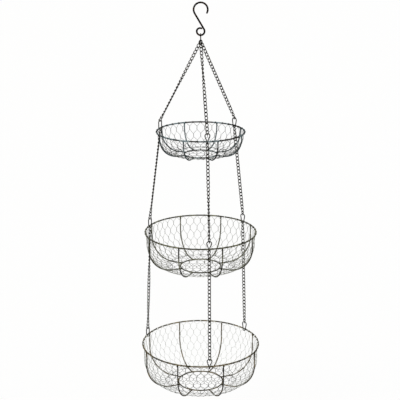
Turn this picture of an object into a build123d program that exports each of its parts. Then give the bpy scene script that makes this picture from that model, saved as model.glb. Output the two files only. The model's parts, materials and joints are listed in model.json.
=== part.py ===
from build123d import *
import os
from math import asin, atan2, ceil, cos, degrees, hypot, radians, sin

os.makedirs("parts", exist_ok=True)

# A three-tier hanging fruit basket: three round wire bowls lined with hexagonal netting, one below
# the other, on three chains a tier, all gathered on a link that hangs in an S-hook.
# Millimetres. +Z is up, -Y is the front. The origin is the underside of the hook's crown, where the
# hook hangs on whatever holds it. Azimuths are degrees from the front, turning towards +X.

# Wire thicknesses
hook_wire = 4.0
gather_wire = 2.6
link_wire = 1.8
clip_wire = 2.2
rim_wire = 3.5
rib_wire = 3.0
base_wire = 3.0
net_wire = 0.8
twist_width = 1.4
strand_width = 0.9

# Clearances
wire_gap = 0.25
link_gap = 0.1
eye_gap = 0.6
gather_gap = 0.5
net_gap = 0.3
weld_depth = 0.3

# S-hook
crown_radius = 17.3
crown_to_eye = 52.9
eye_radius = 9.7
eye_end_radius = 8.0
crown_end_angle = -27.0
eye_end_angle = 62.0

# Link that gathers the chains
gather_length = 21.0
gather_width = 13.6

# Chain links: outside width, and the pitch before a chain's length is shared among its links
link_width = 8.0
link_pitch = 9.15
quarter_turn = 90.0
set_off = 45.0

# How far the links have turned round a chain, as pairs of share of the chain and degrees, from
# facing along the wire that carries it. Each link is a quarter turn from the last.
rim_turns = [(0, set_off)]
gather_turns = {
    "front": [(0, 0), (0.12, set_off), (0.2, set_off), (0.56, set_off + 180)],
    "right": [(0, 0), (0.12, set_off), (0.6, set_off)],
    "left": [(0, 0), (0.12, set_off), (0.4, set_off)],
}
settled_share = 0.86

# Clips that join a rim to the chain above it and the chain below it
clip_height = 21.0
clip_width = 14.6
clip_turn = 30.0
clip_leg_top = 2.0

# Where the chains and the ribs stand round the rims
clip_azimuths = {"front": 8.5, "right": 128.5, "left": 248.5}
gather_seats = {"front": -40.0, "right": 30.0, "left": 0.0}
rib_count = 8
rib_azimuth = 22.5
rib_beside_clip = 5
rib_beside_clip_shift = -2.5

# Netting
cell_width = 19.0

# Tiers, from the top: rim radius and drop below the origin, bowl depth from the rim wire to the
# wires of the floor, bend radius between wall and floor, base ring radius
tiers = {
    "top": dict(radius=110.5, drop=319.0, depth=58.0, bend=45.0, base=41.0),
    "middle": dict(radius=142.2, drop=582.7, depth=93.5, bend=60.0, base=52.2),
    "bottom": dict(radius=152.5, drop=892.0, depth=110.0, bend=66.0, base=59.1),
}


def tube(path, wire):
    """A round wire along a smooth path."""
    end = Plane(origin=path @ 0, z_dir=path % 0)
    return sweep(end * Circle(wire / 2), path=path)


def joined(solids):
    """One solid from wires that run into each other."""
    return solids[0].fuse(*solids[1:])


def save(name, solids):
    """Write one node."""
    kept = [solid for item in solids for solid in item.solids()]
    export_step(Compound(kept) if len(kept) > 1 else kept[0], "parts/" + name + ".step")


def standing(radius, azimuth, height):
    """A place on a circle round the axis: x along the rim, y outwards, z up."""
    turn = radians(azimuth)
    outward = Vector(sin(turn), -cos(turn), 0)
    along = Vector(cos(turn), sin(turn), 0)
    return Plane(origin=outward * radius + Vector(0, 0, height), x_dir=-along, z_dir=(0, 0, 1))


# Heights on the hook and the gathering link
crown_centre_z = hook_wire / 2 - crown_radius
eye_centre_z = crown_centre_z - crown_to_eye
eye_bottom_z = eye_centre_z - eye_radius
gather_top_z = eye_bottom_z + hook_wire / 2 + wire_gap + gather_wire / 2
gather_bottom_z = gather_top_z - (gather_length - gather_wire)
gather_bend = (gather_width - gather_wire) / 2

# Heights on a clip, from the centre of the rim wire
clip_bend = (rim_wire / 2 + clip_wire / 2 + wire_gap) / cos(radians(clip_turn))
clip_bottom = -(rim_wire / 2 + wire_gap + link_wire + wire_gap + clip_wire / 2)
clip_eye_radius = (clip_width - clip_wire) / 2
clip_eye_top = clip_height - clip_wire / 2
clip_eye_centre = clip_eye_top - clip_eye_radius


def s_hook():
    """Open crown on the left shank, straight shank, nearly closed eye."""
    flat = Plane.XZ
    lean = degrees(asin((crown_radius + eye_radius) / crown_to_eye))
    crown = CenterArc((0, crown_centre_z), crown_radius, crown_end_angle, 180 + lean - crown_end_angle)
    bowl = CenterArc((0, eye_centre_z), eye_radius, lean, -(180 + lean))
    shank = Line(crown @ 1, bowl @ 0)
    end_centre = (eye_end_radius - eye_radius, eye_centre_z)
    end = CenterArc(end_centre, eye_end_radius, 180, eye_end_angle - 180)
    return tube(flat * Wire([crown, shank, bowl, end]), hook_wire)


def oval(length, width, wire):
    """A link of round wire standing in the XZ plane, centred, from its outside sizes."""
    bend = (width - wire) / 2
    reach = (length - wire) / 2 - bend
    right = Line((bend, -reach), (bend, reach))
    top = CenterArc((0, reach), bend, 0, 180)
    left = Line((-bend, reach), (-bend, -reach))
    bottom = CenterArc((0, -reach), bend, 180, 180)
    return tube(Plane.XZ * Wire([right, top, left, bottom]), wire)


def gathering_link():
    """The link in the hook's eye, standing front to back."""
    link = oval(gather_length, gather_width, gather_wire)
    return Pos(0, 0, (gather_top_z + gather_bottom_z) / 2) * Rot(0, 0, 90) * link


def gather_seat(side):
    """Centre of the gathering link's wire where a chain hangs on it."""
    angle = radians(gather_seats[side])
    return Vector(0, gather_bend * sin(angle), gather_bottom_z + gather_bend * (1 - cos(angle)))


def clip():
    """Pear-shaped wire clip: round eye along the rim, legs turned to pass round the rim wire."""
    turn = radians(clip_turn)
    foot_x = clip_bend * sin(turn)
    foot_y = clip_bend * cos(turn)
    foot_z = clip_bottom + clip_bend
    run = hypot(foot_x, clip_eye_centre - clip_leg_top)
    swing = asin(clip_eye_radius / run) - atan2(foot_x, clip_eye_centre - clip_leg_top)
    start = -degrees(swing)
    eye = Plane.XZ * CenterArc((0, clip_eye_centre), clip_eye_radius, start, 180 - 2 * start)
    right_top = Vector(foot_x, -foot_y, clip_leg_top)
    right_low = Vector(foot_x, -foot_y, foot_z)
    left_top = Vector(-foot_x, foot_y, clip_leg_top)
    left_low = Vector(-foot_x, foot_y, foot_z)
    under = ThreePointArc(right_low, Vector(0, 0, clip_bottom), left_low)
    right_leg = Line(eye @ 0, right_top)
    left_leg = Line(eye @ 1, left_top)
    pieces = [tube(path, clip_wire) for path in (eye, right_leg, left_leg)]
    pieces.append(tube(Line(right_top, right_low), clip_wire))
    pieces.append(tube(Line(left_top, left_low), clip_wire))
    pieces.append(tube(under, clip_wire))
    for knuckle in (eye @ 0, eye @ 1, right_top, left_top):
        pieces.append(Pos(*knuckle) * Sphere(clip_wire / 2))
    return joined(pieces)


class Chain:
    """A straight chain from one wire's centre to another's: its own pitch, line and turning."""

    def __init__(self, upper, reach_above, lower, face, last_face, turns):
        self.down = (lower - upper).normalized()
        self.start = upper - self.down * reach_above
        self.end = lower + self.down * (clip_wire / 2 + eye_gap + link_wire / 2)
        span = (self.end - self.start).length
        self.count = round((span - link_wire) / link_pitch)
        self.pitch = (span - link_wire - link_gap) / self.count
        self.length = self.pitch + 2 * link_wire + link_gap
        self.across = self.down.cross(face).normalized()
        ahead = self.across.cross(self.down)
        facing = degrees(atan2(-last_face.dot(self.across), last_face.dot(ahead)))
        half_turn = 2 * quarter_turn
        facing += half_turn * round((turns[-1][1] - set_off - facing) / half_turn)
        edge_on = facing + quarter_turn * (self.count % 2)
        self.turns = turns + [(settled_share, facing + set_off), (1, edge_on)]

    def turn(self, number):
        """How far a link is turned round the chain, from the stations on either side of it."""
        share = number / (self.count - 1)
        for (low, before), (high, after) in zip(self.turns, self.turns[1:]):
            if share <= high:
                return before + (after - before) * (share - low) / (high - low)
        return self.turns[-1][1]

    def links(self):
        """The links, each turned a quarter against the one before."""
        link = oval(self.length, link_width, link_wire)
        placed = []
        for number in range(self.count):
            reach = (self.length - link_wire) / 2 + number * self.pitch
            place = Plane(origin=self.start + self.down * reach, x_dir=self.across, z_dir=-self.down)
            placed.append(place.location * Rot(0, 0, self.turn(number) + quarter_turn * (number % 2)) * link)
        return placed


def chain_between(upper, tier, side):
    """The chain to a tier's clip from the clip of the tier above, or from the gathering link."""
    azimuth = clip_azimuths[side]
    eye = standing(tier["radius"], azimuth, clip_eye_top - tier["drop"])
    if upper is None:
        seat = gather_seat(side)
        reach = gather_wire / 2 + gather_gap + link_wire / 2
        return Chain(seat, reach, eye.origin, Vector(0, 1, 0), eye.y_dir, gather_turns[side])
    seat = standing(upper["radius"], azimuth, clip_bottom - upper["drop"])
    reach = clip_wire / 2 + wire_gap + link_wire / 2
    return Chain(seat.origin, reach, eye.origin, seat.y_dir, eye.y_dir, rim_turns)


def ribs(tier):
    """Ribs from the rim, down the wall and in along the floor to the base ring."""
    radius = tier["radius"] - (rim_wire + rib_wire) / 2 + weld_depth
    floor_z = -tier["depth"]
    end = tier["base"] + (base_wire + rib_wire) / 2 - weld_depth - rib_wire / 2
    path = FilletPolyline((radius, 0), (radius, floor_z), (end, floor_z), radius=tier["bend"])
    rib = Pos(0, 0, -tier["drop"]) * tube(Plane.XZ * path, rib_wire)
    placed = []
    for number in range(rib_count):
        azimuth = rib_azimuth + number * 360 / rib_count
        if number == rib_beside_clip:
            azimuth += rib_beside_clip_shift
        placed.append(Rot(0, 0, azimuth - 90) * rib)
    return placed


def net_sizes(tier):
    """Middle of the netting's wall: radius, straight drop and bend radius, inside the ribs."""
    inset = rib_wire / 2 + net_gap + net_wire / 2
    radius = tier["radius"] - (rim_wire + rib_wire) / 2 + weld_depth - inset
    return radius, tier["depth"] - tier["bend"], tier["bend"] - inset


def wall_netting(tier):
    """The netting round the wall as the thin skin it fills, open at the rim and at the floor."""
    radius, straight, bend = net_sizes(tier)
    half = net_wire / 2
    outer = [(radius + half, 0), (radius + half, -straight), (radius - bend, -straight - bend - half)]
    inner = [(radius - half, 0), (radius - half, -straight), (radius - bend, -straight - bend + half)]
    edges = [Line(outer[0], outer[1]), RadiusArc(outer[1], outer[2], bend + half), Line(outer[2], inner[2])]
    edges += [RadiusArc(inner[2], inner[1], half - bend), Line(inner[1], inner[0]), Line(inner[0], outer[0])]
    skin = revolve(Plane.XZ * make_face(edges), Axis.Z)
    return Pos(0, 0, -tier["drop"]) * skin


def floor_netting(tier):
    """Flat netting on the floor wires: one holed face, with a bound edge."""
    radius, straight, bend = net_sizes(tier)
    edge = radius - bend - net_gap
    side = cell_width / 2
    x = (cell_width - twist_width) / 2
    tip = side * 1.5 - strand_width * 0.75
    corners = [(0, tip), (x, side / 2), (x, -side / 2), (0, -tip), (-x, -side / 2), (-x, side / 2)]
    cell = make_face(Polyline(*corners, close=True))
    field = Circle(edge - twist_width)
    holes = []
    rows = ceil(edge / (2 * side))
    columns = ceil(edge / cell_width)
    for row in range(-rows, rows + 1):
        for column in range(-columns, columns + 1):
            place = ((column + 0.5 * (row % 2)) * cell_width, row * 2 * side)
            reach = hypot(*place)
            if reach + tip < edge - twist_width:
                holes.append(Pos(*place) * cell)
            elif reach - tip < edge - twist_width:
                holes.append(Pos(*place) * cell & field)
    kept = [face for hole in holes for face in hole.faces() if face.area > cell_width * twist_width / 2]
    disc = Circle(edge) - kept
    return Pos(0, 0, -tier["drop"] - straight - bend - net_wire / 2) * extrude(disc, net_wire)


save("s_hook", [s_hook()])
save("gather_link", [gathering_link()])

clip_shape = clip()
previous = None
for name, tier in tiers.items():
    rim_z = -tier["drop"]
    save(name + "_rim", [Pos(0, 0, rim_z) * Torus(tier["radius"], rim_wire / 2)])
    save(name + "_base_ring", [Pos(0, 0, rim_z - tier["depth"]) * Torus(tier["base"], base_wire / 2)])
    save(name + "_ribs", ribs(tier))
    save(name + "_side_netting", [wall_netting(tier)])
    save(name + "_floor_netting", [floor_netting(tier)])
    for side, azimuth in clip_azimuths.items():
        stand = standing(tier["radius"], azimuth, rim_z)
        save(name + "_clip_" + side, [stand.location * clip_shape])
        chain = chain_between(previous, tier, side).links()
        if previous is None:
            save(name + "_chain_" + side, chain)
        else:
            save(name + "_chain_" + side + "_top_link", chain[:1])
            if side == "front":
                save(name + "_chain_" + side, chain[1:-1])
                save(name + "_chain_" + side + "_bottom_link", chain[-1:])
            else:
                save(name + "_chain_" + side, chain[1:])
    previous = tier
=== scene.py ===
"""Three-tier hanging fruit basket of patinated wire: hook, curb chains, wire bowls and hexagonal netting."""

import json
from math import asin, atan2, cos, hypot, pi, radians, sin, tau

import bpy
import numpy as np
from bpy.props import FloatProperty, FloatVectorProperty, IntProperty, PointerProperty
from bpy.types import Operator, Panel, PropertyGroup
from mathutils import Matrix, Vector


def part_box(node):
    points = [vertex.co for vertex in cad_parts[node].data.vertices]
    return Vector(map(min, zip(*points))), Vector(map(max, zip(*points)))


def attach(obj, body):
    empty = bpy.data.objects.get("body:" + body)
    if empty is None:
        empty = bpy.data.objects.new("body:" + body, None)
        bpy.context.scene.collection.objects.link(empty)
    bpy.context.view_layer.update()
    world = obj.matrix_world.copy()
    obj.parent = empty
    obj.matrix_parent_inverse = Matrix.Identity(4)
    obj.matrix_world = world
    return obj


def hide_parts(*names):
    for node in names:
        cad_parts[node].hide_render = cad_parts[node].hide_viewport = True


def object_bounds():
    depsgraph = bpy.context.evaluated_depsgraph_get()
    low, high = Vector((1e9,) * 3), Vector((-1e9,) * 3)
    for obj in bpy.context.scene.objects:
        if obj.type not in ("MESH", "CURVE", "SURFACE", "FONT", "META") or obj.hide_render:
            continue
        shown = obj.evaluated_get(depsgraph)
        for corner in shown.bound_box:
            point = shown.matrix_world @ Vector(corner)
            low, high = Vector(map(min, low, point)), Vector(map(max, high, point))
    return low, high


bl_info = {
    "name": "Hanging Fruit Basket",
    "version": (1, 0, 0),
    "blender": (4, 5, 0),
    "location": "3D View > Sidebar > Fruit Basket",
    "description": "Adds the wire pieces of a three-tier hanging fruit basket round its solid model",
    "category": "Add Mesh",
}

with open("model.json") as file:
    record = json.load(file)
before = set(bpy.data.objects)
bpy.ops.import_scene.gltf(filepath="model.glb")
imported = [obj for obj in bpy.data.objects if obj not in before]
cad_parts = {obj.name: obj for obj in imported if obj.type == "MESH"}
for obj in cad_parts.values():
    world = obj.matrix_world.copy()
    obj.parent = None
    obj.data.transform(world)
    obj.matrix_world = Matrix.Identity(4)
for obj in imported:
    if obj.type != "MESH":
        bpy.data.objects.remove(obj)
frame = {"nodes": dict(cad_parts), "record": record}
solid_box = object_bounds()

MM = 0.001
SIDES = ("front", "right", "left")
TIERS = ("top", "middle", "bottom")

# Ribs in a basket, and which of them, counted from 0 in front towards the right, is beside the left clip
RIB_COUNT = 8
RIB_BESIDE_CLIP = 5

# Corners round each kind of wire
CORNERS = {"hook": 20, "gathering": 16, "chain": 10, "clip": 14, "ring": 16, "rib": 14, "netting": 5}

# Distance between two points along each, or the longest distance on the netting
SPACING = {"hook": 1.2 * MM, "gathering": 0.6 * MM, "chain": 1 * MM, "clip": 0.55 * MM, "rib": 1.3 * MM,
           "netting": 3 * MM}

body_with = {node: body for body, nodes in frame["record"]["behaviour"]["bodies"].items() for node in nodes}


def linear(code):
    """Linear red, green and blue of an sRGB hex code."""
    levels = [int(code[place:place + 2], 16) / 255 for place in (0, 2, 4)]
    return [level / 12.92 if level <= 0.04045 else ((level + 0.055) / 1.055) ** 2.4 for level in levels]


def millimetres(name, size, description):
    """A length given in millimetres, which the sidebar shows in the scene's unit."""
    return FloatProperty(name=name, description=description, default=size * MM, min=0, precision=4,
                         unit="LENGTH")


def degrees(name, angle, description):
    """An angle given in degrees."""
    return FloatProperty(name=name, description=description, default=radians(angle), subtype="ANGLE")


def srgb(name, code, description):
    """A colour given as an sRGB hex code."""
    return FloatVectorProperty(name=name, description=description, default=linear(code), subtype="COLOR",
                               min=0, max=1)


class WireSizes(PropertyGroup):
    """Thickness of each wire."""

    hook: millimetres("Hook", 4.5, "Thickness of the S-hook's wire")
    gathering: millimetres("Gathering link", 2.7, "Thickness of the gathering link's wire")
    chain: millimetres("Chain", 2.1, "Thickness of the chain links' wire")
    clip: millimetres("Clips", 2.6, "Thickness of the clips' wire")
    rim: millimetres("Rims", 3.6, "Thickness of the rims' wire")
    rib: millimetres("Ribs", 3.2, "Thickness of the ribs' wire")
    base_ring: millimetres("Base rings", 3.2, "Thickness of the base rings' wire")
    netting: millimetres("Netting", 0.8, "Thickness of the netting's wire")


class HookSizes(PropertyGroup):
    """Shape of the S-hook and of the link in its eye."""

    crown_radius: millimetres("Crown radius", 17.3, "From the middle of the crown to the middle of its wire")
    crown_to_eye: millimetres("Crown to eye", 52.9, "From the middle of the crown to the middle of the eye")
    eye_radius: millimetres("Eye radius", 9.7, "From the middle of the eye to the middle of its wire")
    eye_end_radius: millimetres("Eye end radius", 8, "Radius on which the eye's free end closes")
    crown_end: degrees("Crown end", -27, "Where the crown's free end stands, from the right")
    eye_end: degrees("Eye end", 62, "Where the eye's free end stands, from the right")
    link_length: millimetres("Gathering link length", 21.4, "Outside length of the gathering link")
    link_width: millimetres("Gathering link width", 13.6, "Outside width of the gathering link")
    gap: millimetres("Gap", 0.1, "Between the hook's eye and the gathering link")


class ChainSizes(PropertyGroup):
    """Shape of the curb chains and of how they hang."""

    link_width: millimetres("Link width", 8.4, "Outside width of a link")
    link_pitch: millimetres("Link pitch", 9.15, "Pitch before a chain's length is shared among its links")
    link_gap: millimetres("Link gap", 0.1, "Between one link's wire and the next")
    curb: degrees("Curb twist", 45, "How far each end of a link is twisted from its middle")
    play: degrees("Play", 20, "How far an end link hangs from square to its wire")
    gather_gap: millimetres("Gap on the gathering link", 0.15, "Between the gathering link and a chain")
    foot_gap: millimetres("Gap in a clip's foot", 0.1, "Between the foot of a clip and the chain below it")
    eye_gap: millimetres("Gap in a clip's eye", 1.2, "Between the eye of a clip and the chain above it")


class ClipSizes(PropertyGroup):
    """Shape of the pear-shaped clips."""

    height: millimetres("Height", 21.6, "From the middle of the rim to the top of the clip")
    width: millimetres("Width", 14.8, "Outside width of the clip's eye")
    leg_top: millimetres("Leg top", 2, "Height over the rim's middle at which the legs part")
    turn: degrees("Turn", 30, "How far the legs are turned from square to the rim")
    aside: degrees("Aside", 15, "How far the side clips are turned towards the front")


class BowlSizes(PropertyGroup):
    """What the wire bowls have in common."""

    rib_azimuth: degrees("First rib", 22.5, "Azimuth of the first rib from the front")
    rib_shift: degrees("Rib shift", -2.5, "How far the rib beside the left clip stands aside")
    rib_inset: millimetres("Rib inset", 0.8, "How far the ribs stand in from the rim over them")
    dent: millimetres("Dent", 1.9, "How far the netting is pressed in beside a clip")
    dent_width: millimetres("Dent width", 9, "How far from a clip the netting's dent runs out")
    weld_depth: millimetres("Weld depth", 0.3, "How far the ribs sink into the rim and the base ring")
    weld_bead: millimetres("Weld bead", 0.7, "How far a weld's bead stands out of the rib")
    weld_length: millimetres("Weld length", 2.6, "How far a weld's bead runs along the rib")


class NettingSizes(PropertyGroup):
    """The hexagonal netting."""

    cell_width: millimetres("Cell width", 19, "From one twist to the next")
    twist: millimetres("Twist", 9.6, "Length of a twist")
    slant: millimetres("Slant", 9.6, "Height of the slanting wires between two twists")
    turned_up: millimetres("Turned up", 6, "How far the floor netting's edge is turned up inside the wall")
    uneven: millimetres("Unevenness", 0.55, "How far the twists stray from their places")
    turns: IntProperty(name="Turns", description="Turns in a twist", default=2, min=1)
    seed: IntProperty(name="Seed", description="Seed of the netting's unevenness", default=7)


class Finishes(PropertyGroup):
    """Colours of the metals."""

    blackened: srgb("Blackened steel", "120e0c", "Oxide black of the hook")
    blackened_worn: srgb("Worn black", "3a2b24", "Brown where the black has worn thin")
    pewter_top: srgb("Top basket's patina", "24211d", "Dark brown-grey wash")
    rubbed_top: srgb("Top basket, rubbed", "6f7d80", "Blue-grey zinc where the wash is rubbed off")
    pewter_middle: srgb("Middle basket's patina", "38362b", "Dark olive-grey wash")
    rubbed_middle: srgb("Middle basket, rubbed", "6e6d56", "Grey-green where the wash is thin")
    pewter_bottom: srgb("Bottom basket's patina", "3f3a2c", "Olive-brown wash")
    rubbed_bottom: srgb("Bottom basket, rubbed", "766a50", "Paler brown where the wash is thin")
    # The ribs' side towards the axis is painted paler than this, as painted light
    rib: srgb("Ribs", "15140f", "Thickest wash, on the ribs' outer side")
    clip: srgb("Clips", "14110e", "Dark brown wash of the clips")
    clip_worn: srgb("Worn clips", "5c5a52", "Steel where the wash is rubbed off")
    chain: srgb("Chain", "1a1815", "Near black of the chain's links")
    chain_worn: srgb("Worn chain", "57534a", "Dark steel where the links have rubbed")
    netting_top: srgb("Top netting", "4c4c48", "Washed netting of the top basket")
    netting_middle: srgb("Middle netting", "747468", "Washed netting of the middle basket")
    netting_bottom: srgb("Bottom netting", "403f36", "Washed netting of the bottom basket")
    netting_floor: srgb("Floor netting", "5a5a54", "Washed netting of the floors")
    # Also the colour of the painted light on the netting's side towards the axis
    zinc: srgb("Bare zinc", "d6d8d2", "Dull zinc where the wash has not reached the netting")
    floor: srgb("Floor", "f4f4f2", "Pale floor")


class StageSizes(PropertyGroup):
    """Camera, floor and lamps."""

    camera: FloatVectorProperty(name="Camera", description="Where the camera stands", subtype="TRANSLATION",
                                default=(-1.6 * MM, -2813.65 * MM, 333.2 * MM), unit="LENGTH")
    pitch: degrees("Pitch", 16.46, "How far the camera looks down")
    lens: FloatProperty(name="Lens", description="Focal length in millimetres", default=103.5)
    sensor: FloatProperty(name="Sensor", description="Width of the sensor in millimetres", default=36)
    floor_drop: millimetres("Floor drop", 260, "From the underside of the lowest basket to the floor")
    key: FloatProperty(name="Key lamp", description="Its strength in watts a square metre", default=1.2)
    fill: FloatProperty(name="Fill lamp", description="Its strength in watts a square metre", default=0.5)
    softness: degrees("Softness", 35, "How wide the lamps look from the basket")
    sky: FloatProperty(name="Sky", description="Strength of the world's soft light", default=0.68)


class FruitBasket(PropertyGroup):
    """Everything that the sidebar shows."""

    wires: PointerProperty(type=WireSizes)
    hook: PointerProperty(type=HookSizes)
    chain: PointerProperty(type=ChainSizes)
    clip: PointerProperty(type=ClipSizes)
    bowl: PointerProperty(type=BowlSizes)
    netting: PointerProperty(type=NettingSizes)
    finish: PointerProperty(type=Finishes)
    stage: PointerProperty(type=StageSizes)


# Materials


def add_node(tree, kind, inputs=(), **settings):
    """Adds a node: settings are its own properties, inputs are values or the sockets linked in."""
    node = tree.nodes.new(kind)
    for name, value in settings.items():
        setattr(node, name, value)
    for socket, value in dict(inputs).items():
        if isinstance(value, bpy.types.NodeSocket):
            tree.links.new(value, node.inputs[socket])
        else:
            node.inputs[socket].default_value = value
    return node


def empty_material(name):
    """A material with no nodes yet, and its tree."""
    material = bpy.data.materials.new(name)
    material.use_nodes = True
    material.node_tree.nodes.clear()
    return material, material.node_tree


def opaque(colour):
    """A colour with full alpha."""
    return (*colour, 1)


def noise(tree, place, size, detail, roughness=0.5):
    """Smooth noise whose patches are about as wide as size."""
    look = {"Vector": place, "Scale": 1 / size, "Detail": detail, "Roughness": roughness}
    return add_node(tree, "ShaderNodeTexNoise", look).outputs["Fac"]


def ranged(tree, value, low, high, to_low, to_high):
    """A value that goes from to_low to to_high as the given one goes from low to high."""
    if to_low == to_high:
        return to_low  # A socket's own value, because it is the same all over
    ends = {"Value": value, "From Min": low, "From Max": high, "To Min": to_low, "To Max": to_high}
    return add_node(tree, "ShaderNodeMapRange", ends).outputs[0]


def greater(tree, one, other):
    """The greater of two values."""
    return add_node(tree, "ShaderNodeMath", {0: one, 1: other}, operation="MAXIMUM").outputs[0]


# Size of the grain that drawing and plating leave on wire, drawn coarser than it is so that it shows
GRAIN_SIZE = 0.6 * MM

# Half the stretch of noise over which a rubbed patch fades into the coat
PATCH_EDGE = 0.05

# How many times smaller than the patches the mottle is, the stretch of noise over which it changes,
# and how far it takes the brightness and the roughness to either side
MOTTLE_FINENESS = 7
MOTTLE_ENDS = (0.3, 0.7)
MOTTLE_LIGHT = 0.38
MOTTLE_ROUGHNESS = 0.1

# How far outwards a surface faces where it keeps its coat's own colour, and where it is painted fully pale as
# painted light
PAINTED_LIGHT_ENDS = (0.3, -0.1)


def painted_light_towards_axis(tree, place, inside):
    """Painted light: how pale the wire is painted on its side towards the axis, as inside says, standing in
    for the light seen on that side.
    """
    level = add_node(tree, "ShaderNodeVectorMath", {0: place, 1: (1, 1, 0)}, operation="MULTIPLY")
    outward = add_node(tree, "ShaderNodeVectorMath", {0: level.outputs[0]}, operation="NORMALIZE").outputs[0]
    normal = add_node(tree, "ShaderNodeTexCoord").outputs["Normal"]
    facing = add_node(tree, "ShaderNodeVectorMath", {0: outward, 1: normal}, operation="DOT_PRODUCT")
    return ranged(tree, facing.outputs["Value"], *PAINTED_LIGHT_ENDS, 0, inside)


def patchy_metal(name, dark, pale, patch_size, threshold, roughness, bare=1, inside=0, shine=(0.35, 0.35)):
    """A wire's finish, made on first use: a dark coat, rubbed to pale metal in patches, mottled and grained.

    A higher threshold on the noise leaves fewer pale patches. The dark coat is as metallic as bare says.
    A coat sprayed from outside leaves the side towards the basket's axis as bare as inside says.
    The side towards the basket's axis is painted as pale as inside says, as painted light.
    """
    made = bpy.data.materials.get(name)
    if made:
        return made
    material, tree = empty_material(name)
    place = add_node(tree, "ShaderNodeTexCoord").outputs["Object"]
    patches = noise(tree, place, patch_size, detail=2)
    mottle = noise(tree, place, patch_size / MOTTLE_FINENESS, detail=3, roughness=0.65)
    grain = noise(tree, place, GRAIN_SIZE, detail=2)
    rubbed = ranged(tree, patches, threshold - PATCH_EDGE, threshold + PATCH_EDGE, 0, 1)
    # Real rubbed patches, together with the painted light on the side towards the axis
    rubbed_and_painted_light = greater(tree, rubbed, painted_light_towards_axis(tree, place, inside)) if inside else rubbed
    colour = add_node(tree, "ShaderNodeMix", {"Factor": rubbed_and_painted_light, "A": opaque(dark), "B": opaque(pale)},
                      data_type="RGBA")
    light = ranged(tree, mottle, *MOTTLE_ENDS, 1 - MOTTLE_LIGHT, 1 + MOTTLE_LIGHT)
    mottled = add_node(tree, "ShaderNodeHueSaturation", {"Color": colour.outputs["Result"], "Value": light})
    rough = ranged(tree, mottle, *MOTTLE_ENDS, roughness + MOTTLE_ROUGHNESS, roughness - MOTTLE_ROUGHNESS)
    bump = add_node(tree, "ShaderNodeBump", {"Height": grain, "Distance": GRAIN_SIZE / 10, "Strength": 0.5})
    glance = ranged(tree, rubbed_and_painted_light, 0, 1, *shine)
    if shine[0] == shine[1]:
        glance = opaque([glance] * 3)
    shader = add_node(tree, "ShaderNodeBsdfPrincipled", {
        "Base Color": mottled.outputs[0],
        "Metallic": ranged(tree, rubbed, 0, 1, bare, 1),
        "Roughness": rough,
        "Normal": bump.outputs[0],
        "Specular Tint": glance,
    })
    add_node(tree, "ShaderNodeOutputMaterial", {"Surface": shader.outputs[0]})
    return material


def blackened_steel(finish):
    """Steel wire dipped in oxide black: a near-black satin that wears to brown."""
    return patchy_metal("oxide_black_steel", finish.blackened, finish.blackened_worn,
                        patch_size=9 * MM, threshold=0.56, roughness=0.5)


def pewter_patina(finish, tier):
    """Zinc-plated steel wire under an antique pewter wash: olive-grey, rubbed back to blue-grey zinc.

    The wash is half way between paint and metal. The top basket is rubbed most.
    """
    wash, rubbed = getattr(finish, "pewter_" + tier), getattr(finish, "rubbed_" + tier)
    return patchy_metal("pewter_patina_" + tier, wash, rubbed, patch_size=22 * MM,
                        threshold=0.5 if tier == "top" else 0.53, roughness=0.52, bare=0.6)


def rib_patina(finish, tier):
    """The same wash on the ribs, near black, and painted paler towards the axis as painted light."""
    rubbed = getattr(finish, "rubbed_" + tier)
    return patchy_metal("rib_patina_" + tier, finish.rib, rubbed, patch_size=22 * MM, threshold=0.6,
                        roughness=0.52, bare=0.6, inside=0.6, shine=(0.1, 0.35))


def clip_patina(finish):
    """The clips' darker brown wash, rubbed off in small patches."""
    return patchy_metal("clip_patina", finish.clip, finish.clip_worn,
                        patch_size=8 * MM, threshold=0.55, roughness=0.5, bare=0.6)


def chain_steel(finish):
    """Dark dipped chain steel: each link rubbed to brighter steel in places."""
    return patchy_metal("dipped_chain_steel", finish.chain, finish.chain_worn,
                        patch_size=5 * MM, threshold=0.53, roughness=0.5)


def galvanised_netting(finish, part):
    """Hot-dip galvanised netting under the same wash: dark, and painted dull zinc on its side towards the
    axis as painted light.

    That painted light is full in the big bottom basket, a quarter in the middle one and none in the small top
    one.
    """
    # How pale the side towards the axis is painted, as painted light
    inside = {"middle": 0.25, "bottom": 1}.get(part, 0)
    coat_shine = {"top": 0.55, "middle": 0.7, "bottom": 0.4, "floor": 0.6}[part]
    wash = getattr(finish, "netting_" + part)
    return patchy_metal("washed_netting_" + part, wash, finish.zinc, patch_size=24 * MM, threshold=0.64,
                        roughness=0.55, inside=inside, shine=(coat_shine, 1))


# Wire


def tangents_of(points, closed):
    """Unit directions along a path."""
    if closed:
        ahead = np.roll(points, -1, 0) - np.roll(points, 1, 0)
    else:
        ahead = np.gradient(points, axis=0)
    return ahead / np.linalg.norm(ahead, axis=1)[:, None]


def wire_rings(points, radii, corners, closed):
    """A ring of corners round each point of a path, carried along it without turning."""
    ahead = tangents_of(points, closed)
    across = np.empty_like(points)
    side = np.cross(ahead[0], np.eye(3)[np.argmin(np.abs(ahead[0]))])
    for place, direction in enumerate(ahead):
        side = side - direction * side.dot(direction)
        side /= np.linalg.norm(side)
        across[place] = side
    up = np.cross(ahead, across)
    turn = np.zeros(len(points))
    if closed:
        last = side - ahead[0] * side.dot(ahead[0])
        slip = atan2(last.dot(up[0]), last.dot(across[0]))
        turn = -slip * np.arange(len(points)) / len(points)
    angle = turn[:, None] + np.arange(corners)[None, :] * tau / corners
    spread = np.cos(angle)[..., None] * across[:, None] + np.sin(angle)[..., None] * up[:, None]
    return points[:, None] + np.asarray(radii).reshape(-1, 1, 1) * spread


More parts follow.
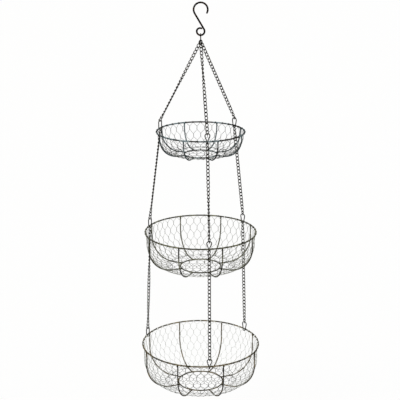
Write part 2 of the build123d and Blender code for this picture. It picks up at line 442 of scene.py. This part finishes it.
def wire_mesh(name, runs, corners):
    """One mesh of round wires. A run is its points, its radius or radii, and whether it closes."""
    vertices = []
    faces = []
    start = 0
    for points, radii, closed in runs:
        points = np.asarray(points, float)
        count = len(points)
        rings = wire_rings(points, np.broadcast_to(radii, count), corners, closed)
        vertices.append(rings.reshape(-1, 3))
        here = start + np.arange(count * corners).reshape(count, corners)
        after = np.roll(here, -1, 0) if closed else here[1:]
        near = here if closed else here[:-1]
        quads = np.stack([near, np.roll(near, -1, 1), np.roll(after, -1, 1), after], axis=-1)
        faces.extend(quads.reshape(-1, 4).tolist())
        if not closed:
            faces.append(here[0][::-1].tolist())
            faces.append(here[-1].tolist())
        start += count * corners
    mesh = bpy.data.meshes.new(name)
    mesh.from_pydata(np.concatenate(vertices).tolist(), [], faces)
    mesh.validate()
    mesh.polygons.foreach_set("use_smooth", [True] * len(mesh.polygons))
    mesh.update()
    return mesh


def add_object(name, data):
    """Adds an object to the scene."""
    added = bpy.data.objects.new(name, data)
    bpy.context.scene.collection.objects.link(added)
    return added


def add_piece(name, runs, kind, material, node):
    """Adds one piece of a kind of wire, which rides with the node that it stands for."""
    piece = add_object(name, wire_mesh(name, runs, CORNERS[kind]))
    piece.data.materials.append(material)
    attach(piece, body_with[node])
    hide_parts(node)


def arc(centre, radius, begin, end, steps):
    """Points of an arc in the upright plane that faces the front; angles run from the right, upwards."""
    angle = np.linspace(begin, end, steps)
    x, z = centre[0] + radius * np.cos(angle), centre[1] + radius * np.sin(angle)
    return np.stack([x, np.zeros(steps), z], axis=1)


def evenly_spaced(points, spacing, closed=False):
    """The same path with its points at an even spacing."""
    if closed:
        points = np.concatenate([points, points[:1]])
    run = np.concatenate([[0], np.cumsum(np.linalg.norm(np.diff(points, axis=0), axis=1))])
    count = max(int(round(run[-1] / spacing)), 2)
    at = np.linspace(0, run[-1], count + 1)
    even = np.stack([np.interp(at, run, points[:, axis]) for axis in range(3)], axis=1)
    return even[:-1] if closed else even


def eased(points, rounds, closed=False):
    """The path with its corners rounded as bent wire is; open ends stay where they are."""
    points = points.copy()
    for _ in range(rounds):
        if closed:
            points = (np.roll(points, 1, 0) + 2 * points + np.roll(points, -1, 0)) / 4
        else:
            points[1:-1] = (points[:-2] + 2 * points[1:-1] + points[2:]) / 4
    return points


def round_ended(points, radius):
    """A path and its radii with both ends rounded off, short of a quarter turn so that no ring is a point."""
    angle = np.linspace(0, radians(84), num=5)
    ahead = tangents_of(points, False)
    head = points[0] - ahead[0] * radius * np.sin(angle[::-1, None])
    tail = points[-1] + ahead[-1] * radius * np.sin(angle[:, None])
    full = np.full(len(points) - 2, radius)
    radii = np.concatenate([radius * np.cos(angle[::-1]), full, radius * np.cos(angle)])
    return np.concatenate([head, points[1:-1], tail]), radii


def swelling(distance, reach):
    """A smooth bump of height 1 that fades out over about twice its reach."""
    return np.exp(-(distance / reach) ** 2)


def oval_path(length, width, wire, spacing):
    """Middle line of an oval link standing in the upright plane, from its outside sizes."""
    bend = (width - wire) / 2
    reach = (length - wire) / 2 - bend
    ends = [arc((0, reach), bend, 0, pi, steps=10), arc((0, -reach), bend, pi, tau, steps=10)]
    return evenly_spaced(np.concatenate(ends), spacing, closed=True)


def round_axis(reach, azimuth, height):
    """Points by their distance from the axis, azimuth from the front towards the right, and height."""
    return np.stack(np.broadcast_arrays(reach * np.sin(azimuth), -reach * np.cos(azimuth), height), axis=-1)


def ring_path(radius, height, steps):
    """Points of a level ring round the axis."""
    return round_axis(radius, np.arange(steps) * tau / steps, height)


# The bowls' sizes, from the solid model


def ring_sizes(node, wire):
    """Radius to the middle of the wire of a solid ring, and the height of its middle."""
    low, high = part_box(node)
    return (high.x - low.x - wire) / 2, (high.z + low.z) / 2


class Tier:
    """One basket's sizes: rings and floor as the solids have them, ribs and wall set in from the rim."""

    def __init__(self, name, wires, bowl):
        self.name = name
        self.rim_radius, self.rim_z = ring_sizes(name + "_rim", wires.rim)
        self.base_radius, self.base_z = ring_sizes(name + "_base_ring", wires.base_ring)
        self.floor_radius, self.floor_z = ring_sizes(name + "_floor_netting", 0)
        self.rib_radius = self.rim_radius - bowl.rib_inset
        self.wall_radius = self.rib_radius - wires.rib / 2 - wires.netting
        self.bend = self.wall_radius - self.floor_radius
        self.straight = self.rim_z - self.floor_z - self.bend
        self.wall_run = self.straight + self.bend * pi / 2
        self.dent, self.dent_width = bowl.dent, bowl.dent_width
        self.clips = {side: self.azimuth_of("_clip_" + side) for side in SIDES}

    def azimuth_of(self, ending):
        """Where a node stands round the axis, from the front towards the right."""
        low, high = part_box(self.name + ending)
        return atan2(low.x + high.x, -(low.y + high.y))

    def on_wall(self, azimuth, run, proud):
        """Points on the netting's wall: run goes down from the rim, round the bend and in on the floor.

        Beside each clip the netting is pressed in, clear of the clip's inner leg and of the chain.
        """
        lean = np.clip((run - self.straight) / self.bend, 0, pi / 2)
        in_floor = np.maximum(run - self.wall_run, 0)
        down = np.minimum(run, self.straight)
        beside = [(azimuth - clip + pi) % tau - pi for clip in self.clips.values()]
        dent = self.dent * sum(swelling(self.rim_radius * off, self.dent_width) for off in beside)
        reach = self.wall_radius - self.bend + (self.bend + proud - dent) * np.cos(lean) - in_floor
        height = self.rim_z - down - (self.bend + proud) * np.sin(lean)
        return round_axis(reach, azimuth, height)


def all_tiers(basket):
    """The three baskets' sizes."""
    return [Tier(name, basket.wires, basket.bowl) for name in TIERS]


def standing(radius, azimuth, height):
    """A place on a circle round the axis, with the directions along it, outwards and up."""
    axes = np.array([[cos(azimuth), sin(azimuth), 0], [sin(azimuth), -cos(azimuth), 0], [0, 0, 1]])
    return round_axis(radius, azimuth, height), axes


# Hook and gathering link


def hook_heights(basket):
    """Heights of the crown's and the eye's middles and of the gathering link's two ends."""
    wires, hook = basket.wires, basket.hook
    crown = wires.hook / 2 - hook.crown_radius
    eye = crown - hook.crown_to_eye
    link_top = eye - hook.eye_radius + wires.hook / 2 + hook.gap + wires.gathering / 2
    return crown, eye, link_top, link_top - (hook.link_length - wires.gathering)


class BASKET_OT_hook(Operator):
    """Adds the S-hook: open crown, straight shank and nearly closed eye, with its wire ends rounded"""

    bl_idname = "fruit_basket.hook"
    bl_label = "S-hook"

    def execute(self, context):
        basket = context.scene.fruit_basket
        hook = basket.hook
        crown_z, eye_z, _, _ = hook_heights(basket)
        lean = asin((hook.crown_radius + hook.eye_radius) / hook.crown_to_eye)
        crown = arc((0, crown_z), hook.crown_radius, hook.crown_end, pi + lean, steps=60)
        bend = arc((0, eye_z), hook.eye_radius, lean, -pi, steps=40)
        end_middle = (hook.eye_end_radius - hook.eye_radius, eye_z)
        end = arc(end_middle, hook.eye_end_radius, pi, hook.eye_end, steps=24)
        path = evenly_spaced(np.concatenate([crown, bend[1:], end[1:]]), SPACING["hook"])
        points, radii = round_ended(eased(path, rounds=3), basket.wires.hook / 2)
        add_piece("s_hook_wire", [(points, radii, False)], "hook", blackened_steel(basket.finish), "s_hook")
        return {"FINISHED"}


# How much thicker the gathering link's wire is at its seam, and how far that reaches along it
SEAM_SWELLING = 0.08
SEAM_REACH = 0.8 * MM


class BASKET_OT_gathering_link(Operator):
    """Adds the oval link that gathers the chains, with the seam where its wire was closed"""

    bl_idname = "fruit_basket.gathering_link"
    bl_label = "Gathering link"

    def execute(self, context):
        basket = context.scene.fruit_basket
        wires, hook = basket.wires, basket.hook
        _, _, top, bottom = hook_heights(basket)
        path = oval_path(hook.link_length, hook.link_width, wires.gathering, SPACING["gathering"])
        points = np.stack([path[:, 1], path[:, 0], path[:, 2] + (top + bottom) / 2], axis=1)
        seam = swelling(path[:, 2], SEAM_REACH) * (path[:, 0] > 0)
        radii = wires.gathering / 2 * (1 + SEAM_SWELLING * seam)
        add_piece("gathering_link_wire", [(points, radii, True)], "gathering", chain_steel(basket.finish),
                  "gather_link")
        return {"FINISHED"}


# Clips and chains


def clip_shape(basket):
    """Middle line of a clip, standing on the rim at the origin: x along the rim, y outwards."""
    wires, clip, chain = basket.wires, basket.clip, basket.chain
    foot = ((wires.rim + wires.clip) / 2 + chain.foot_gap) / cos(clip.turn)
    foot_x, foot_y = foot * sin(clip.turn), foot * cos(clip.turn)
    eye_radius = (clip.width - wires.clip) / 2
    eye_z = clip.height - wires.clip / 2 - eye_radius
    run = hypot(foot_x, eye_z - clip.leg_top)
    begin = atan2(foot_x, eye_z - clip.leg_top) - asin(eye_radius / run)
    eye = arc((0, eye_z), eye_radius, begin, pi - begin, steps=40)
    angle = np.linspace(0, pi, num=24)
    height = clip_foot(basket) + foot * (1 - np.sin(angle))
    under = np.stack([-foot_x * np.cos(angle), foot_y * np.cos(angle), height], axis=1)
    left = np.array([[-foot_x, foot_y, clip.leg_top]])
    right = -left * [1, 1, -1]
    loop = evenly_spaced(np.concatenate([eye, left, under, right]), SPACING["clip"], closed=True)
    return eased(loop, rounds=5, closed=True)


def clip_turn(basket, side):
    """Which way round a clip hangs, 1 or -1, and how far it is turned, anticlockwise from above."""
    hand = -1 if side == "left" else 1
    return hand, hand * (0 if side == "front" else basket.clip.aside)


def clip_foot(basket):
    """Height of the middle of a clip's wire under the rim."""
    wires, chain = basket.wires, basket.chain
    return -(wires.rim / 2 + wires.chain + 2 * chain.foot_gap + wires.clip / 2)


class BASKET_OT_clips(Operator):
    """Adds the pear-shaped clips: a round eye over the rim, one leg on each side of it, closed below"""

    bl_idname = "fruit_basket.clips"
    bl_label = "Clips"

    def execute(self, context):
        basket = context.scene.fruit_basket
        shape = clip_shape(basket)
        for tier in all_tiers(basket):
            for side in SIDES:
                place, axes = standing(tier.rim_radius, tier.clips[side], tier.rim_z)
                hand, turn = clip_turn(basket, side)
                spin = np.array([[cos(turn), -sin(turn), 0], [sin(turn), cos(turn), 0], [0, 0, 1]])
                runs = [(place + shape * [hand, 1, 1] @ spin @ axes, basket.wires.clip / 2, True)]
                add_piece("pear_clip_" + tier.name + "_" + side, runs, "clip", clip_patina(basket.finish),
                          tier.name + "_clip_" + side)
        return {"FINISHED"}


# Where each top chain sits in the gathering link's bend
GATHER_SEATS = {"front": radians(-40), "right": radians(30), "left": 0}

# Which way each chain's flat side faces on its way down, as pairs of share of the chain and
# azimuth in degrees: at 0 it is seen face-on from the front, and at 90 edge-on
FACING_SHARES = {
    "top_front": [(0.05, 0), (0.33, 90), (0.6, 170), (0.9, 180)],
    "top_right": [(0.12, 20), (0.88, 20)],
    "top_left": [(0.1, 10), (0.3, 35), (0.6, 80), (0.9, 82)],
    "middle_front": [(0.1, 0), (0.35, 5), (0.62, 75), (0.85, 65)],
    "middle_right": [(0.15, 5), (0.85, -5)],
    "middle_left": [(0.15, 82), (0.85, 86)],
    "bottom_front": [(0.12, 5), (0.88, 0)],
    "bottom_right": [(0.15, -5), (0.85, -20)],
    "bottom_left": [(0.15, 85), (0.33, 82), (0.55, 30), (0.68, 35), (0.88, 82)],
}


def facing_stations(basket, first, last, shares):
    """Stations of a chain's turning, its ends turned as square to their wires as its play allows.

    A facing repeats every half turn, so each end takes the one nearest to the station beside it.
    """
    stations = [(share, radians(angle)) for share, angle in shares]
    play = basket.chain.play
    ends = []
    for end, near in ((first, stations[0][1]), (last, stations[-1][1])):
        end += pi * round((near - end) / pi)
        ends.append(end + float(np.clip(near - end, -play, play)))
    return [(0, ends[0])] + stations + [(1, ends[1])]


def chain_links(basket, upper, upper_wire, reach, lower, lower_wire, shares):
    """Middle lines of a straight chain's curb links, from a reach below one wire to the clip's eye below.

    Each wire is given by a place on its middle line and its direction there.
    """
    wires, chain = basket.wires, basket.chain
    down = (lower - upper) / np.linalg.norm(lower - upper)
    start = upper - down * reach
    end = lower + down * (wires.clip / 2 + chain.eye_gap + wires.chain / 2)
    span = np.linalg.norm(end - start) - wires.chain
    count = round(span / chain.link_pitch)
    pitch = (span - chain.link_gap) / count
    length = pitch + 2 * wires.chain + chain.link_gap
    across = np.cross(down, (0, -1, 0))
    across /= np.linalg.norm(across)
    ahead = np.cross(across, down)
    first, last = (atan2(-wire.dot(across), wire.dot(ahead)) for wire in (upper_wire, lower_wire))
    stations = facing_stations(basket, first - chain.curb, last + chain.curb, shares)
    oval = oval_path(length, chain.link_width, wires.chain, SPACING["chain"])
    half_length = (length - wires.chain) / 2
    twist = chain.curb * oval[:, 2] / half_length
    links = []
    for number in range(count):
        turn = np.interp(number / (count - 1), *zip(*stations)) + twist
        middle = start + down * (half_length + number * pitch)
        width = np.cos(turn)[:, None] * across + np.sin(turn)[:, None] * ahead
        links.append(middle + oval[:, :1] * width - oval[:, 2:] * down)
    return links


def gather_seat(basket, side):
    """Middle of the gathering link's wire where a chain hangs on it, and its direction there."""
    bend = (basket.hook.link_width - basket.wires.gathering) / 2
    middle = hook_heights(basket)[-1] + bend
    angle = GATHER_SEATS[side]
    return np.array([0, bend * sin(angle), middle - bend * cos(angle)]), np.array([0, cos(angle), sin(angle)])


def tier_chain(basket, above, tier, side):
    """The links from the gathering link, or from the basket above, down to one clip of a basket."""
    wires, chain = basket.wires, basket.chain
    eye_z = tier.rim_z + basket.clip.height - wires.clip / 2
    eye, (along, outward, _) = standing(tier.rim_radius, tier.clips[side], eye_z)
    hand, turn = clip_turn(basket, side)
    eye_wire = along * cos(turn) - outward * sin(turn)
    if above is None:
        seat, wire = gather_seat(basket, side)
        reach = (wires.gathering + wires.chain) / 2 + chain.gather_gap
    else:
        foot_z = above.rim_z + clip_foot(basket)
        seat, (along, outward, _) = standing(above.rim_radius, tier.clips[side], foot_z)
        leg = hand * basket.clip.turn - turn
        wire = outward * cos(leg) - along * sin(leg)
        reach = (wires.clip + wires.chain) / 2 + chain.foot_gap
    return chain_links(basket, seat, wire, reach, eye, eye_wire, FACING_SHARES[tier.name + "_" + side])


class BASKET_OT_chains(Operator):
    """Adds the nine curb chains, link by link"""

    bl_idname = "fruit_basket.chains"
    bl_label = "Curb chains"

    def execute(self, context):
        basket = context.scene.fruit_basket
        above = None
        for tier in all_tiers(basket):
            for side in SIDES:
                links = tier_chain(basket, above, tier, side)
                node = tier.name + "_chain_" + side
                first = int(node + "_top_link" in frame["nodes"])
                last = len(links) - int(node + "_bottom_link" in frame["nodes"])
                shares = {"_top_link": links[:first], "": links[first:last], "_bottom_link": links[last:]}
                for ending, share in shares.items():
                    if share:
                        runs = [(link, basket.wires.chain / 2, True) for link in share]
                        add_piece("curb_" + node + ending, runs, "chain", chain_steel(basket.finish),
                                  node + ending)
            above = tier
        return {"FINISHED"}


# Bowls


class BASKET_OT_rims(Operator):
    """Adds the rims, each with the slight swelling where its ends are butt-welded"""

    bl_idname = "fruit_basket.rims"
    bl_label = "Rims"

    def execute(self, context):
        add_rings(context.scene.fruit_basket, "rim")
        return {"FINISHED"}


class BASKET_OT_base_rings(Operator):
    """Adds the rings under the floors on which the ribs end"""

    bl_idname = "fruit_basket.base_rings"
    bl_label = "Base rings"

    def execute(self, context):
        add_rings(context.scene.fruit_basket, "base_ring")
        return {"FINISHED"}


# How much thicker a ring's wire is at its weld, how far that reaches, and how far round the ring the weld is
WELD_SWELLING = 0.07
WELD_REACH = 1.5 * MM
WELD_PLACE = 0.55


def add_rings(basket, ending):
    """Adds one level ring of wire to each basket, with its butt weld near the back."""
    wire = getattr(basket.wires, ending)
    for tier in TIERS:
        node = tier + "_" + ending
        radius, height = ring_sizes(node, wire)
        points = ring_path(radius, height, steps=192)
        from_weld = (np.arange(len(points)) / len(points) - WELD_PLACE) * tau * radius
        radii = wire / 2 * (1 + WELD_SWELLING * swelling(from_weld, WELD_REACH))
        add_piece(node + "_wire", [(points, radii, True)], "ring", pewter_patina(basket.finish, tier), node)


class BASKET_OT_ribs(Operator):
    """Adds the ribs: down the wall, round the bend and in under the floor, with a weld bead at each end"""

    bl_idname = "fruit_basket.ribs"
    bl_label = "Ribs"

    def execute(self, context):
        basket = context.scene.fruit_basket
        wires, bowl = basket.wires, basket.bowl
        for tier in all_tiers(basket):
            bend = tier.bend + tier.rib_radius - tier.wall_radius
            inner = tier.base_radius + wires.base_ring / 2 - bowl.weld_depth
            top = tier.rim_z - wires.rim / 2 + bowl.weld_depth
            corner = arc((tier.rib_radius - bend, tier.base_z + bend), bend, 0, -pi / 2, steps=32)
            profile = np.concatenate([[[tier.rib_radius, 0, top]], corner, [[inner, 0, tier.base_z]]])
            path = evenly_spaced(profile, SPACING["rib"])
            run = np.arange(len(path)) * SPACING["rib"]
            from_end = np.minimum(run, run[::-1])
            radii = wires.rib / 2 + bowl.weld_bead * swelling(from_end, bowl.weld_length)
            azimuths = [rib_azimuth(bowl, number) for number in range(RIB_COUNT)]
            runs = [(round_axis(path[:, 0], azimuth, path[:, 2]), radii, False) for azimuth in azimuths]
            add_piece(tier.name + "_rib_wires", runs, "rib", rib_patina(basket.finish, tier.name),
                      tier.name + "_ribs")
        return {"FINISHED"}


def rib_azimuth(bowl, number):
    """Where a rib stands round the axis."""
    shift = bowl.rib_shift if number == RIB_BESIDE_CLIP else 0
    return bowl.rib_azimuth + number * tau / RIB_COUNT + shift


# Netting


# Points in each turn of a twist
TURN_STEPS = 8

# Where the netting leaves the rim, over what length it comes in to its wall,
# and how far its lower ends stop short of the next twist
LEAVING_RUN = 0.4 * MM
FLARE_RUN = 5 * MM
LOWER_END_GAP = 1 * MM

# Turns of each wire's end round the rim, and how many radii of the wire each turn moves along
WRAP_TURNS = 1.3
WRAP_SHIFT = 2.1

# Added to the floors' seed, so that they are uneven in their own way
FLOOR_SEED = 40

# A wire with no more points than this within the floor is only a snippet and is left out
SNIPPET_POINTS = 12


def strays(netting, seed, rows, twists):
    """How far each twist strays from its place, across and along."""
    return np.random.default_rng(netting.seed + seed).normal(0, netting.uneven, (rows, twists, 2))


def twist_beside(lane, row):
    """The twist that the wire of a lane goes through in a row, and on which side of it, 1 or -1."""
    twist = lane if (lane - row) % 2 == 0 else lane + 1
    return twist, (1 if twist == lane else -1)


def twist_offsets(netting, strand, side):
    """Offsets of one strand of a twist, across it and out of it."""
    angle = np.linspace(0, tau * netting.turns, TURN_STEPS * netting.turns + 1) + (0 if side > 0 else pi)
    return strand * np.cos(angle), strand * np.sin(angle)


class BASKET_OT_side_netting(Operator):
    """Adds the netting of the walls: wires wrapped on the rim, twisted in pairs and drawn in at the bend"""

    bl_idname = "fruit_basket.side_netting"
    bl_label = "Side netting"

    def execute(self, context):
        basket = context.scene.fruit_basket
        for tier in all_tiers(basket):
            runs = [(path, basket.wires.netting / 2, False) for path in wall_wires(basket, tier)]
            material = galvanised_netting(basket.finish, tier.name)
            add_piece(tier.name + "_wall_netting", runs, "netting", material, tier.name + "_side_netting")
        return {"FINISHED"}


def wall_wires(basket, tier):
    """Middle lines of the wires of a basket's wall netting, one for each lane between two twists."""
    netting = basket.netting
    strand = basket.wires.netting / 2
    columns = round(tau * tier.wall_radius / netting.cell_width)
    step = pi / columns
    row_run = netting.twist + netting.slant
    rows = int((tier.wall_run - netting.slant + row_run / 2) / row_run)
    stray = strays(netting, len(tier.name), rows + 1, 2 * columns)
    paths = []
    for lane in range(2 * columns):
        twist, side = twist_beside(lane, -1)
        azimuths = [[twist * step + side * strand / tier.wall_radius]]
        runs = [[LEAVING_RUN]]
        prouds = [[0]]
        for row in range(rows):
            twist, side = twist_beside(lane, row)
            aside, below = stray[row, twist % (2 * columns)]
            across, out = twist_offsets(netting, strand, side)
            azimuths.append(twist * step + (across + aside) / tier.wall_radius)
            runs.append(netting.slant + row * row_run + below + np.linspace(0, netting.twist, len(across)))
            prouds.append(out)
        twist, side = twist_beside(lane, rows)
        azimuths.append([twist * step + side * strand / tier.wall_radius])
        runs.append([netting.slant + rows * row_run - LOWER_END_GAP])
        prouds.append([0])
        azimuth, run, proud = (np.concatenate(values) for values in (azimuths, runs, prouds))
        path = tier.on_wall(azimuth, run, proud + rim_flare(basket, tier, run))
        path = filled(path, SPACING["netting"])
        paths.append(np.concatenate([wrap_points(basket, tier, lane, step), path]))
    return paths


def filled(path, longest):
    """The path with points added where two are further apart than longest."""
    points = [path[0]]
    for here, after in zip(path[:-1], path[1:]):
        count = int(np.ceil(np.linalg.norm(after - here) / longest))
        points.extend(here + (after - here) * share for share in np.arange(1, count + 1)[:, None] / count)
    return np.array(points)


def rim_flare(basket, tier, run):
    """How far the netting stands out of its wall near the rim, where it comes off the rim's inside."""
    out = tier.rim_radius - (basket.wires.rim + basket.wires.netting) / 2 - tier.wall_radius
    share = np.clip(1 - run / FLARE_RUN, 0, 1)
    return out * share ** 2 * (3 - 2 * share)


def wrap_points(basket, tier, lane, step):
    """The turns of a wire's end round the rim, from the end to where the wire leaves down the wall."""
    strand = basket.wires.netting / 2
    off_rim = basket.wires.rim / 2 + strand
    twist, side = twist_beside(lane, -1)
    angle = np.linspace(tau * WRAP_TURNS, 0, num=14)
    azimuth = twist * step + side * strand * (1 + WRAP_SHIFT * angle / tau) / tier.rim_radius
    reach, height = tier.rim_radius - off_rim * np.cos(angle), tier.rim_z + off_rim * np.sin(angle)
    return round_axis(reach, azimuth, height)


class BASKET_OT_floor_netting(Operator):
    """Adds the flat netting of the floors, its twists front to back and its edge turned up inside the wall"""

    bl_idname = "fruit_basket.floor_netting"
    bl_label = "Floor netting"

    def execute(self, context):
        basket = context.scene.fruit_basket
        strand = basket.wires.netting / 2
        for tier in all_tiers(basket):
            runs = [(path, strand, False) for path in floor_wires(basket, tier)]
            binding = ring_path(tier.floor_radius, tier.floor_z + 2 * strand, steps=160)
            runs.append((binding, strand, True))
            material = galvanised_netting(basket.finish, "floor")
            add_piece(tier.name + "_base_netting", runs, "netting", material, tier.name + "_floor_netting")
        return {"FINISHED"}


def floor_wires(basket, tier):
    """Middle lines of the floor netting's wires, cut where its edge is turned up far enough."""
    netting = basket.netting
    strand = basket.wires.netting / 2
    above_wall = 3 * strand
    edge = tier.floor_radius + netting.turned_up
    row_run = netting.twist + netting.slant
    lanes = int(edge / (netting.cell_width / 2)) + 1
    rows = int(edge / row_run) + 2
    stray = strays(netting, FLOOR_SEED + len(tier.name), 2 * rows + 1, 2 * lanes + 2)
    paths = []
    for lane in range(-lanes, lanes):
        twists = []
        for row in range(-rows, rows + 1):
            twist, side = twist_beside(lane, row)
            aside, along = stray[row + rows, twist + lanes]
            across, up = twist_offsets(netting, strand, side)
            back = row * row_run + along + np.linspace(-netting.twist / 2, netting.twist / 2, len(across))
            twists.append(np.stack([twist * netting.cell_width / 2 + across + aside, back, up], axis=1))
        flat = filled(np.concatenate(twists), SPACING["netting"])
        out = np.hypot(flat[:, 0], flat[:, 1])
        inside = np.flatnonzero(out < edge)
        if len(inside) > SNIPPET_POINTS:
            kept = slice(inside[0], inside[-1] + 1)
            x, y, up = flat[kept].T
            run = tier.wall_run + tier.floor_radius - out[kept]
            paths.append(tier.on_wall(np.arctan2(x, -y), run, up - above_wall))
    return paths


# Stage


# Half the floor's width, and how much of it is plain white to the camera, so that shadows stay faint
FLOOR_HALF = 25
FLOOR_WHITE = 0.8


class BASKET_OT_stage(Operator):
    """Adds the camera, the pale floor, the lamps and the soft white surroundings"""

    bl_idname = "fruit_basket.stage"
    bl_label = "Stage"

    def execute(self, context):
        basket = context.scene.fruit_basket
        stage = basket.stage
        scene = context.scene
        add_camera(scene, stage)
        add_floor(basket)
        add_lamp(stage, "key_lamp", stage.key, azimuth=radians(-40), elevation=radians(50))
        add_lamp(stage, "fill_lamp", stage.fill, azimuth=radians(60), elevation=radians(35))
        add_surroundings(scene, stage)
        scene.view_settings.view_transform = "Standard"
        return {"FINISHED"}


def add_camera(scene, stage):
    """The camera at the photograph's angle."""
    camera = add_object("camera", bpy.data.cameras.new("camera"))
    camera.data.sensor_width = stage.sensor
    camera.data.lens = stage.lens
    camera.location = stage.camera
    camera.rotation_euler = (pi / 2 - stage.pitch, 0, 0)
    scene.camera = camera


def seen_directly(tree):
    """1 for what the camera sees, itself or in a reflection, and 0 for the light on other things."""
    rays = add_node(tree, "ShaderNodeLightPath").outputs
    return greater(tree, rays["Is Camera Ray"], rays["Is Glossy Ray"])


def add_floor(basket):
    """A wide pale floor under the basket, nearly white to the camera apart from a faint shadow."""
    height = solid_box[0][2] - basket.stage.floor_drop
    corners = [(x * FLOOR_HALF, y * FLOOR_HALF, height) for x, y in ((-1, -1), (1, -1), (1, 1), (-1, 1))]
    mesh = bpy.data.meshes.new("floor")
    mesh.from_pydata(corners, [], [(0, 1, 2, 3)])
    floor = add_object("floor", mesh)
    material, tree = empty_material("pale_floor")
    paint = add_node(tree, "ShaderNodeBsdfDiffuse", {"Color": opaque(basket.finish.floor)})
    white = add_node(tree, "ShaderNodeEmission", {"Color": (1, 1, 1, 1), "Strength": 1})
    share = ranged(tree, seen_directly(tree), 0, 1, 0, FLOOR_WHITE)
    mixed = add_node(tree, "ShaderNodeMixShader", {0: share, 1: paint.outputs[0], 2: white.outputs[0]})
    add_node(tree, "ShaderNodeOutputMaterial", {"Surface": mixed.outputs[0]})
    mesh.materials.append(material)


def add_lamp(stage, name, strength, azimuth, elevation):
    """A distant soft lamp, which lights all evenly; its azimuth runs from the front towards the right."""
    lamp = add_object(name, bpy.data.lights.new(name, "SUN"))
    lamp.data.energy = strength
    lamp.data.angle = stage.softness
    lamp.rotation_euler = (pi / 2 - elevation, 0, azimuth)


def add_surroundings(scene, stage):
    """Soft light from all sides, white to the camera and in the metal's reflections."""
    scene.world = bpy.data.worlds.new("surroundings")
    scene.world.use_nodes = True
    tree = scene.world.node_tree
    tree.nodes.clear()
    strength = ranged(tree, seen_directly(tree), 0, 1, stage.sky, 1)
    light = add_node(tree, "ShaderNodeBackground", {"Color": (1, 1, 1, 1), "Strength": strength})
    add_node(tree, "ShaderNodeOutputWorld", {"Surface": light.outputs[0]})


STEPS = (BASKET_OT_stage, BASKET_OT_hook, BASKET_OT_gathering_link, BASKET_OT_chains, BASKET_OT_clips,
         BASKET_OT_rims, BASKET_OT_ribs, BASKET_OT_base_rings, BASKET_OT_side_netting,
         BASKET_OT_floor_netting)


class BASKET_PT_sidebar(Panel):
    """Lists the pieces of the basket and their sizes and colours."""

    bl_idname = "BASKET_PT_sidebar"
    bl_label = "Hanging Fruit Basket"
    bl_space_type = "VIEW_3D"
    bl_region_type = "UI"
    bl_category = "Fruit Basket"

    def draw(self, context):
        basket = context.scene.fruit_basket
        for step in STEPS:
            self.layout.operator(step.bl_idname)
        for name in basket.bl_rna.properties.keys():
            group = getattr(basket, name)
            if isinstance(group, PropertyGroup):
                box = self.layout.box()
                box.label(text=basket.bl_rna.properties[name].name)
                for size in group.bl_rna.properties.keys():
                    if size not in ("rna_type", "name"):
                        box.prop(group, size)


CLASSES = (WireSizes, HookSizes, ChainSizes, ClipSizes, BowlSizes, NettingSizes, Finishes, StageSizes,
           FruitBasket, *STEPS, BASKET_PT_sidebar)


def register():
    for kind in CLASSES:
        bpy.utils.register_class(kind)
    bpy.types.Scene.fruit_basket = PointerProperty(type=FruitBasket)


def unregister():
    del bpy.types.Scene.fruit_basket
    for kind in reversed(CLASSES):
        bpy.utils.unregister_class(kind)


def main():
    """Adds every piece in order."""
    register()
    bpy.ops.fruit_basket.stage()
    bpy.ops.fruit_basket.hook()
    bpy.ops.fruit_basket.gathering_link()
    bpy.ops.fruit_basket.chains()
    bpy.ops.fruit_basket.clips()
    bpy.ops.fruit_basket.rims()
    bpy.ops.fruit_basket.ribs()
    bpy.ops.fruit_basket.base_rings()
    bpy.ops.fruit_basket.side_netting()
    bpy.ops.fruit_basket.floor_netting()


if __name__ == "__main__":
    main()
